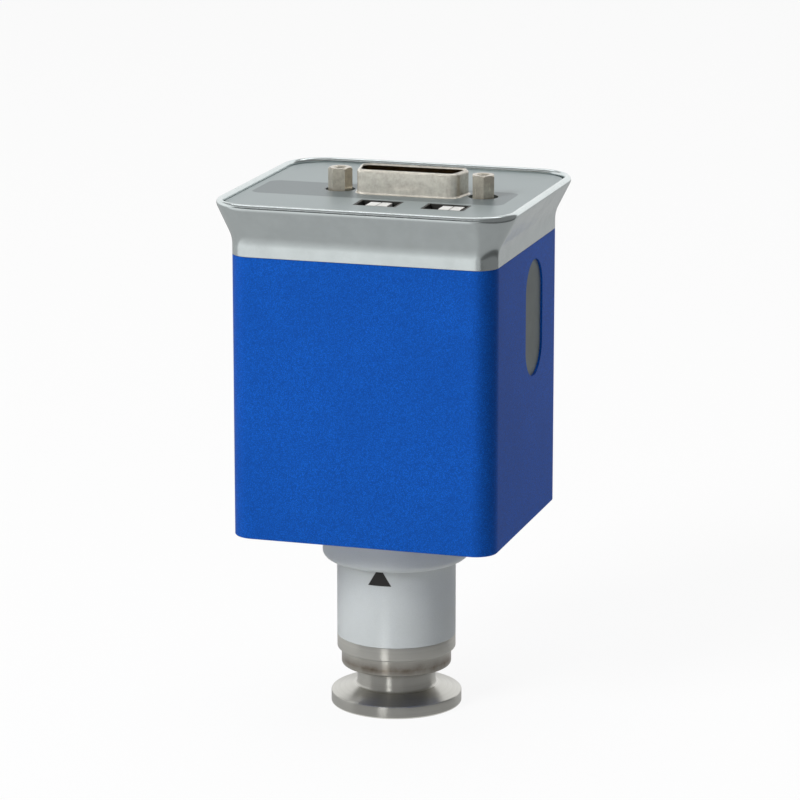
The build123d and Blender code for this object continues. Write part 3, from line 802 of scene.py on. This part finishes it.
class GAUGE_OT_envelope(GaugeOperator, bpy.types.Operator):
    """Add the sensor's steel envelope with the bare band, and finish the feedthroughs"""
    bl_idname = "gauge.envelope"
    bl_label = "Sensor envelope"

    def execute(self, context):
        hole = NECK_RADIUS + NECK_GAP
        inner = ENVELOPE_RADIUS - ENVELOPE_WALL
        corners = [
            ((hole, ENVELOPE_BOTTOM), 0.0), ((ENVELOPE_RADIUS, ENVELOPE_BOTTOM), ENVELOPE_EDGE),
            ((ENVELOPE_RADIUS, BAND_BOTTOM), STEP_EDGE), ((BAND_RADIUS, BAND_BOTTOM), BAND_EDGE),
            ((BAND_RADIUS, SLEEVE_BOTTOM), FINE_EDGE), ((ENVELOPE_RADIUS, SLEEVE_BOTTOM), FINE_EDGE),
            ((ENVELOPE_RADIUS, ENVELOPE_TOP), FINE_EDGE), ((inner, ENVELOPE_TOP), FINE_EDGE),
            ((inner, NECK_TOP), ENVELOPE_FILLET), ((hole, NECK_TOP), 0.0),
        ]
        steel = turned_steel("envelope_steel", linear(204, 203, 196), 0.32, metallic=0.85,
                             weld=ENVELOPE_WELD, tint=linear(120, 108, 94))
        mesh = turned(corners, self.settings(context).turned_segments)
        add_piece("envelope", mesh, steel, ["sensor_envelope"], crease=TURNED_CREASE)
        dress(turned_steel("header_steel", linear(150, 148, 142), 0.3), "feedthrough_header")
        dress(bead_glass(), "feedthrough_glass")
        return {"FINISHED"}


class GAUGE_OT_sleeve(GaugeOperator, bpy.types.Operator):
    """Add the grey sleeve with its rounded collar"""
    bl_idname = "gauge.sleeve"
    bl_label = "Sleeve"

    def execute(self, context):
        settings = self.settings(context)
        bore = ENVELOPE_RADIUS + SLEEVE_GAP
        collar_bottom = SLEEVE_TOP - COLLAR_HEIGHT
        corners = [
            ((bore, SLEEVE_BOTTOM), FINE_EDGE), ((BAND_RADIUS, SLEEVE_BOTTOM), STEP_EDGE),
            ((BAND_RADIUS, collar_bottom), COLLAR_FILLET),
            ((COLLAR_RADIUS, collar_bottom), COLLAR_ROUND),
            ((COLLAR_RADIUS, SLEEVE_TOP), COLLAR_TOP_EDGE), ((bore, SLEEVE_TOP), FINE_EDGE),
        ]
        mesh = turned(corners, settings.turned_segments)
        add_piece("sleeve", mesh, sleeve_paint(settings), ["sensor_housing"])
        return {"FINISHED"}


class GAUGE_OT_electrodes(GaugeOperator, bpy.types.Operator):
    """Add the grid's coil and both filaments, and finish their posts and the collector"""
    bl_idname = "gauge.electrodes"
    bl_label = "Electrodes"

    def execute(self, context):
        wire = self.settings(context).grid_wire / MM
        drawn = plated("electrode_metal", linear(150, 150, 152), 0.3)
        height = GRID_TOP - GRID_BOTTOM - 2 * wire
        steps = GRID_STEPS_PER_TURN * GRID_TURNS
        coil = []
        for step in range(steps + 1):
            angle = 2 * pi * GRID_TURNS * step / steps
            z = GRID_BOTTOM + wire + height * step / steps
            coil.append(Vector((GRID_RADIUS * cos(angle), GRID_RADIUS * sin(angle), z)))
        add_piece("grid_wire", tube(coil, wire), drawn, ["grid_coil"])
        dress(drawn, "grid_posts", "filament_posts", "collector_wire")
        coated = moulded("filament_coating", linear(196, 190, 178), 0.7, scale=9.0, depth=0.03)
        for side, node in ((-1, "filament_front"), (1, "filament_back")):
            add_piece(node + "_wire", tube(rounded(self.filament(side, node)), FILAMENT_RADIUS),
                      coated, [node])
        return {"FINISHED"}

    @staticmethod
    def filament(side, node):
        """Corners of a filament's wire, from its short post to the foot of its long one."""
        bottom, top = low(node).z, high(node).z
        posts = []
        for spread in (-FILAMENT_SPREAD, FILAMENT_SPREAD):
            angle = radians(side * 90 + spread)
            posts.append((FILAMENT_CIRCLE * cos(angle), FILAMENT_CIRCLE * sin(angle)))
        long_post, short_post = posts
        span = (0, side * (FILAMENT_CIRCLE - FILAMENT_OFFSET))
        span_top, span_bottom = FILAMENT_SPAN
        places = [
            (short_post, top - FILAMENT_TOP_GAP, 0),
            (short_post, top - FILAMENT_SHORT_LEG, FILAMENT_BEND),
            (span, top - span_top, FILAMENT_BEND), (span, top - span_bottom, FILAMENT_BEND),
            (long_post, bottom + FILAMENT_FOOT_GAP, FILAMENT_BEND),
            (long_post, bottom + FILAMENT_LONG_LEG, 0),
        ]
        return [(Vector((x, y, z)), bend) for (x, y), z, bend in places]


class GAUGE_OT_case(GaugeOperator, bpy.types.Operator):
    """Finish the blue case and the grey cover in its side"""
    bl_idname = "gauge.case"
    bl_label = "Case and side cover"

    def execute(self, context):
        dress(case_paint(self.settings(context)), "case")
        dress(moulded("cover_plastic", linear(112, 122, 120), 0.4, scale=5.0, depth=0.006),
              "side_cover")
        return {"FINISHED"}


class GAUGE_OT_bezel(GaugeOperator, bpy.types.Operator):
    """Add the flared bezel with its round rim"""
    bl_idname = "gauge.bezel"
    bl_label = "Bezel"

    def execute(self, context):
        growth = (RIM_CORNER - CASE_CORNER) / RIM_SPREAD
        loops = [rectangle_loop(CASE_WIDTH + 2 * spread, CASE_DEPTH + 2 * spread,
                                CASE_CORNER + growth * max(spread, -INNER_CORNER_REACH), z,
                                RIM_CORNER_STEPS)
                 for spread, z in self.profile()]
        metal = chrome("bezel_chrome", linear(222, 230, 230), 0.19)
        add_piece("flared_bezel", bridge(loops, ring=True), metal, ["bezel"],
                  crease=BEZEL_CREASE, even_normals=True)
        return {"FINISHED"}

    @staticmethod
    def flare(height, rise, spread):
        """Spread of the flare at a height: a bend, then a lean that reaches spread at rise."""
        angle = radians(BEZEL_FLARE_ANGLE)
        bend = (rise * tan(angle) - spread) / (sin(angle) * tan(angle) - (1 - cos(angle)))
        if height <= bend * sin(angle):
            return bend - sqrt(bend ** 2 - height ** 2)
        return bend * (1 - cos(angle)) + (height - bend * sin(angle)) * tan(angle)

    def profile(self):
        """Spread from the case's outline and height: up the outside, over the rim, down inside."""
        lean = radians(BEZEL_FLARE_ANGLE)
        rim_middle = PANEL_TOP + RIM_ABOVE_PANEL - RIM_BEAD_RADIUS
        straight_top = CASE_TOP + BEZEL_STRAIGHT
        rise = rim_middle - RIM_BLEND_RADIUS * sin(lean) - straight_top
        flare_spread = RIM_SPREAD - RIM_BLEND_RADIUS * (1 - cos(lean))
        points = [(-FOOT_EDGE, CASE_TOP), (-FOOT_EDGE_MIDDLE, CASE_TOP + FOOT_EDGE_MIDDLE),
                  (0.0, CASE_TOP + FOOT_EDGE)]
        for step in range(FLARE_STEPS + 1):
            height = rise * step / FLARE_STEPS
            points.append((self.flare(height, rise, flare_spread), straight_top + height))
        for radius, first, last, steps in ((RIM_BLEND_RADIUS, -BEZEL_FLARE_ANGLE, 0.0, BLEND_STEPS),
                                           (RIM_BEAD_RADIUS, 0.0, 180.0, BEAD_STEPS)):
            for step in range(1, steps + 1):
                angle = radians(first + (last - first) * step / steps)
                points.append((RIM_SPREAD - radius * (1 - cos(angle)),
                               rim_middle + radius * sin(angle)))
        return points + [(RIM_SPREAD - 2 * RIM_BEAD_RADIUS, PANEL_BOTTOM),
                         (-BEZEL_WALL, PANEL_BOTTOM), (-BEZEL_WALL, CASE_TOP)]


class GAUGE_OT_panel(GaugeOperator, bpy.types.Operator):
    """Finish the top panel, the lamp windows and their light guides"""
    bl_idname = "gauge.panel"
    bl_label = "Top panel"

    def execute(self, context):
        dress(panel_paint(self.settings(context)), "top_panel")
        dress(moulded("window_black", linear(46, 46, 44)), "lamp_frames")
        dress(moulded("guide_white", linear(248, 248, 244), 0.3, scale=3.0, depth=0.004),
              "light_guides")
        dress(moulded("lamp_body", linear(228, 224, 200), 0.3), "lamps")
        return {"FINISHED"}


class GAUGE_OT_plug(GaugeOperator, bpy.types.Operator):
    """Add the plug's shell and pins, and finish its insulator and rear shell"""
    bl_idname = "gauge.plug"
    bl_label = "Signal plug"

    def execute(self, context):
        loops = self.shell_loops()
        nickel = plated("shell_nickel", linear(232, 227, 215), 0.16, metallic=0.45)
        shell = add_piece("plug_shell", bridge(loops, ring=True), nickel,
                          ["connector_front_shell"], crease=SHELL_CREASE, even_normals=True)
        # The inner wall gets a dark brown plating that stands for the shade inside the shell: painted
        # shade
        shell.data.materials.append(plated("shell_inside_painted_shade", linear(96, 84, 70), 0.35))
        around = len(loops[0])
        inner_wall = (len(loops) - 2) * around
        for face in shell.data.polygons[inner_wall:inner_wall + around]:
            face.material_index = 1
        dress(nickel, "connector_rear_shell")
        dress(moulded("insulator_black", linear(38, 36, 33), 0.5), "connector_insulator")
        gold = plated("pin_gold", linear(214, 178, 110), 0.22)
        add_piece("plug_pins", merged(self.pins()), gold, ["connector_pins"])
        return {"FINISHED"}

    @staticmethod
    def d_loop(inset, z):
        """D outline of the plug, long side to the back, drawn in by inset."""
        lean = radians(SHELL_SIDE_ANGLE)
        half_depth = SHELL_DEPTH / 2 - inset
        middle = SHELL_WIDTH / 2 - SHELL_DEPTH / 2 * tan(lean) - inset / cos(lean)
        back = middle + half_depth * tan(lean)
        front = middle - half_depth * tan(lean)
        corners = [(-front, -half_depth), (front, -half_depth), (back, half_depth), (-back, half_depth)]
        outline = rounded([(corner, SHELL_CORNER - inset) for corner in corners], 10)
        return [Vector((PLUG_X + point.x, PLUG_Y + point.y, z)) for point in outline]

    def shell_loops(self):
        """Loops of the shell: its ears, the curved foot, the rolled lip and the inner wall."""
        bottom, top = SHELL_LOW.z, SHELL_HIGH.z
        ear_top = bottom + EAR_THICKNESS
        centre = Vector((PLUG_X, PLUG_Y, 0))
        ears = [[point + centre for point in rectangle_loop(EAR_LENGTH, EAR_WIDTH, EAR_CORNER, z)]
                for z in (bottom, ear_top)]
        lip = SHELL_WALL / 2
        foot_z = PANEL_TOP + SHELL_FOOT
        quarter = [radians(90 * step / QUARTER_STEPS) for step in range(QUARTER_STEPS + 1)]
        walls = [(-SHELL_FOOT, ear_top)]
        walls += [(-SHELL_FOOT * (1 - sin(turn)), foot_z - SHELL_FOOT * cos(turn)) for turn in quarter]
        walls += [(SHELL_LIP * (1 - cos(turn)), top - SHELL_LIP * (1 - sin(turn))) for turn in quarter]
        walls += [(SHELL_WALL - lip + lip * sin(turn), top - lip + lip * cos(turn)) for turn in quarter]
        walls += [(SHELL_WALL, bottom)]
        return ears + [self.d_loop(inset, z) for inset, z in walls]

    @staticmethod
    def pins():
        """The pins in their two rows, each closed at both ends."""
        tip = [(radius, PIN_TOP - below) for radius, below in PIN_TIP]
        tail = [(PIN_RADIUS, PIN_BOTTOM + PIN_TAIL_HEIGHT), (PIN_RADIUS - PIN_TAIL_TAPER, PIN_BOTTOM)]
        upwards = list(reversed(tip + tail))
        pins = []
        for count, side in ((PIN_BACK_ROW, 1), (PIN_BACK_ROW - 1, -1)):
            for number in range(count):
                x = PLUG_X + (number - (count - 1) / 2) * PIN_PITCH
                y = PLUG_Y + side * PIN_ROW_GAP / 2
                pins.append(capped([circle(radius, z, PIN_SIDES, x, y) for radius, z in upwards]))
        return pins


class GAUGE_OT_jack_posts(GaugeOperator, bpy.types.Operator):
    """Add the two hexagonal posts with their threaded holes"""
    bl_idname = "gauge.jack_posts"
    bl_label = "Jack posts"

    def execute(self, context):
        pitch = self.settings(context).thread_pitch / MM
        posts = []
        for side, turn in zip((-1, 1), POST_TURNS):
            shift = Vector((PLUG_X + side * POST_SPACING / 2, PLUG_Y, 0))
            loops = [[point + shift for point in loop] for loop in self.loops(turn, pitch)]
            posts.append(bridge(loops, ring=True))
        nickel = plated("post_nickel", linear(206, 199, 184), 0.2, grain=(1.0, 1.0, 0.06),
                        metallic=0.6)
        add_piece("posts", merged(posts), nickel, ["jack_posts"], crease=POST_CREASE)
        return {"FINISHED"}

    @staticmethod
    def loops(turn, pitch, segments=96):
        """Closed profile of a post as loops: stud, hexagon, chamfer, thread and the hole's floor."""
        chamfer_radius = POST_FLATS / sqrt(3) - POST_CHAMFER
        steps = [2 * pi * number / segments for number in range(segments)]
        angles = [radians(turn) + step for step in steps]
        reaches = [POST_FLATS / 2 / cos(step % (pi / 3) - pi / 6) for step in steps]

        def loop(radii, heights):
            return [Vector((radius * cos(angle), radius * sin(angle), z))
                    for angle, radius, z in zip(angles, radii, heights)]

        def even(radius, z):
            return loop([radius] * segments, [z] * segments)

        edge_heights = [POST_TOP - max(0.0, reach - chamfer_radius) for reach in reaches]
        loops = [even(TIP_RADIUS, POST_BOTTOM), even(STUD_RADIUS - STUD_CHAMFER, POST_BOTTOM),
                 even(STUD_RADIUS, POST_BOTTOM + STUD_CHAMFER), even(STUD_RADIUS, POST_SHOULDER),
                 loop(reaches, [POST_SHOULDER] * segments), loop(reaches, edge_heights),
                 loop([min(reach, chamfer_radius) for reach in reaches], [POST_TOP] * segments),
                 even(THREAD_RADIUS + THREAD_MOUTH, POST_TOP),
                 even(THREAD_RADIUS, POST_TOP - THREAD_MOUTH)]
        rings = int((THREAD_DEPTH - THREAD_START - THREAD_END) / pitch * RINGS_PER_TURN)
        for ring in range(rings):
            z = POST_TOP - THREAD_START - ring * pitch / RINGS_PER_TURN
            radii = []
            for angle in angles:
                phase = (ring / RINGS_PER_TURN + angle / (2 * pi)) % 1.0
                radii.append(THREAD_RADIUS + THREAD_HEIGHT * (1 - abs(2 * phase - 1)))
            loops.append(loop(radii, [z] * segments))
        floor = POST_TOP - THREAD_DEPTH
        return loops + [even(THREAD_RADIUS, floor + HOLE_POINT_HEIGHT), even(TIP_RADIUS, floor)]


class GAUGE_OT_electronics(GaugeOperator, bpy.types.Operator):
    """Finish the socket, the boards and what is on them inside the case"""
    bl_idname = "gauge.electronics"
    bl_label = "Electronics"

    def execute(self, context):
        black = moulded("socket_black", linear(34, 34, 34), 0.5)
        dress(black, "sensor_socket", "lower_headers", "upper_headers")
        dress(moulded("package_black", linear(28, 28, 30), 0.55, scale=6.0),
              "power_transistors", "processor", "small_chips")
        dress(moulded("relay_white", linear(226, 226, 220), 0.35), "relays")
        dress(circuit_board(), "sensor_board", "connector_board", "power_board", "control_board")
        dress(plated("contact_gold", linear(210, 176, 110), 0.28), "socket_contacts", "panel_spacers")
        dress(plated("screw_steel", linear(160, 160, 160), 0.3), "collar_screws",
              "sensor_board_screws")
        dress(plated("can_aluminium", linear(176, 178, 182), 0.35), "capacitors")
        dress(moulded("ferrite", linear(52, 52, 55), 0.6, scale=6.0, depth=0.03),
              "transformer_core", "chokes")
        dress(wound_copper(), "transformer_winding")
        return {"FINISHED"}


class GAUGE_OT_stage(GaugeOperator, bpy.types.Operator):
    """Add the pale floor, the soft lamps, the surroundings and the camera"""
    bl_idname = "gauge.stage"
    bl_label = "Stage"

    def execute(self, context):
        self.add_floor()
        self.add_surroundings(context.scene)
        for card in CARDS:
            self.add_card(card)
        for lamp in LAMPS:
            self.add_lamp(lamp)
        self.add_camera(context.scene)
        context.scene.view_settings.view_transform = "Standard"
        return {"FINISHED"}

    @staticmethod
    def add_floor():
        """Paper floor that keeps the object's shadow, looks white and is clear from below."""
        material, tree, shader = new_material("floor_white", Roughness=0.9, Specular_IOR_Level=0.1)
        paper = blended(tree, noise(tree, place(tree), 0.02),
                        (0.86, 0.86, 0.86, 1.0), (0.88, 0.88, 0.88, 1.0))
        feed(tree, shader, Base_Color=paper)
        glow = add_node(tree, "ShaderNodeEmission", {"Color": (1.0, 1.0, 1.0, 1.0)})
        pale = add_node(tree, "ShaderNodeMixShader", {
            0: maths(tree, "MULTIPLY", looked_at(tree), FLOOR_GLOW),
            1: shader.outputs[0], 2: glow.outputs[0]})
        clear = add_node(tree, "ShaderNodeBsdfTransparent")
        below = add_node(tree, "ShaderNodeNewGeometry").outputs["Backfacing"]
        sided = add_node(tree, "ShaderNodeMixShader", {
            0: below, 1: pale.outputs[0], 2: clear.outputs[0]})
        tree.links.new(sided.outputs[0], tree.nodes["Material Output"].inputs["Surface"])
        half = FLOOR_SIDE / 2
        corners = [(-half, -half, 0), (half, -half, 0), (half, half, 0), (-half, half, 0)]
        floor = add_sheet("floor", corners, material)
        floor.location.z = -FLOOR_DROP * MM

    @staticmethod
    def add_surroundings(scene):
        """White background that lights the object only softly."""
        world = bpy.data.worlds.new("studio")
        world.use_nodes = True
        tree = world.node_tree
        tree.nodes.clear()
        white = (1.0, 1.0, 1.0, 1.0)
        soft = add_node(tree, "ShaderNodeBackground", {"Color": white, "Strength": ROOM_LIGHT})
        bright = add_node(tree, "ShaderNodeBackground", {"Color": white, "Strength": 1.0})
        both = add_node(tree, "ShaderNodeMixShader", {
            0: looked_at(tree), 1: soft.outputs[0], 2: bright.outputs[0]})
        output = add_node(tree, "ShaderNodeOutputWorld")
        tree.links.new(both.outputs[0], output.inputs["Surface"])
        scene.world = world

    @staticmethod
    def add_card(card):
        """Adds one of the cards, level or upright."""
        low_corner, high_corner = Vector(card.low), Vector(card.high)
        if low_corner.z == high_corner.z:
            side = Vector((0, high_corner.y - low_corner.y, 0))
        else:
            side = Vector((0, 0, high_corner.z - low_corner.z))
        material, tree, shader = new_material(card.name)
        # An even card goes through the same nodes, so that all cards are sampled alike
        start, end, end_grey = card.fade or (0.0, 1.0, card.grey)
        x, y, z = parts(tree, place(tree))
        grey = between(tree, length(tree, joined(tree, x, y)), start, end, card.grey, end_grey)
        glow = add_node(tree, "ShaderNodeEmission", {"Strength": grey})
        tree.links.new(glow.outputs[0], tree.nodes["Material Output"].inputs["Surface"])
        corners = [low_corner, high_corner - side, high_corner, low_corner + side]
        sheet = add_sheet(card.name, corners, material)
        sheet.visible_camera = False
        sheet.visible_diffuse = card.shades
        sheet.visible_shadow = False
        sheet.visible_transmission = False

    @staticmethod
    def add_lamp(lamp):
        """Adds one of the lamps, which light the object and don't show in its reflections."""
        data = bpy.data.lights.new(lamp.name, "AREA")
        data.shape = "SQUARE"
        data.size = lamp.side * MM
        data.energy = lamp.watts
        light = bpy.data.objects.new(lamp.name, data)
        light.location = Vector(lamp.place) * MM
        light.rotation_euler = facing(Vector(LAMP_AIM) - Vector(lamp.place))
        light.visible_camera = False
        light.visible_glossy = False
        bpy.context.scene.collection.objects.link(light)

    @staticmethod
    def add_camera(scene):
        """Adds the photograph's camera and makes it the scene's."""
        data = bpy.data.cameras.new("camera")
        data.lens = CAMERA_LENS
        data.sensor_width = CAMERA_SENSOR
        data.clip_start = CAMERA_NEAR
        data.clip_end = CAMERA_FAR
        camera = bpy.data.objects.new("camera", data)
        side, rise = radians(CAMERA_AZIMUTH), radians(CAMERA_ELEVATION)
        back = Vector((sin(side) * cos(rise), -cos(side) * cos(rise), sin(rise)))
        camera.location = (Vector(CAMERA_TARGET) + back * CAMERA_DISTANCE) * MM
        camera.rotation_euler = facing(-back)
        scene.collection.objects.link(camera)
        scene.camera = camera


OPERATORS = (
    GAUGE_OT_stage, GAUGE_OT_flange, GAUGE_OT_envelope, GAUGE_OT_sleeve, GAUGE_OT_electrodes,
    GAUGE_OT_case, GAUGE_OT_bezel, GAUGE_OT_panel, GAUGE_OT_plug, GAUGE_OT_jack_posts,
    GAUGE_OT_electronics,
)


class GAUGE_PT_panel(bpy.types.Panel):
    """Lists the head's settings and the operators that build it"""
    bl_idname = "GAUGE_PT_panel"
    bl_label = "Gauge head"
    bl_space_type = "VIEW_3D"
    bl_region_type = "UI"
    bl_category = "Gauge"

    def draw(self, context):
        settings = context.scene.gauge_settings
        for name in settings.__annotations__:
            self.layout.prop(settings, name)
        for operator in OPERATORS:
            self.layout.operator(operator.bl_idname)


CLASSES = (GAUGE_PG_settings, *OPERATORS, GAUGE_PT_panel)


def register():
    for one in CLASSES:
        bpy.utils.register_class(one)
    bpy.types.Scene.gauge_settings = PointerProperty(type=GAUGE_PG_settings)


def unregister():
    del bpy.types.Scene.gauge_settings
    for one in reversed(CLASSES):
        bpy.utils.unregister_class(one)


def main():
    """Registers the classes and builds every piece."""
    register()
    for operator in OPERATORS:
        group, name = operator.bl_idname.split(".")
        getattr(getattr(bpy.ops, group), name)()
    bpy.context.view_layer.update()


if __name__ == "__main__":
    main()
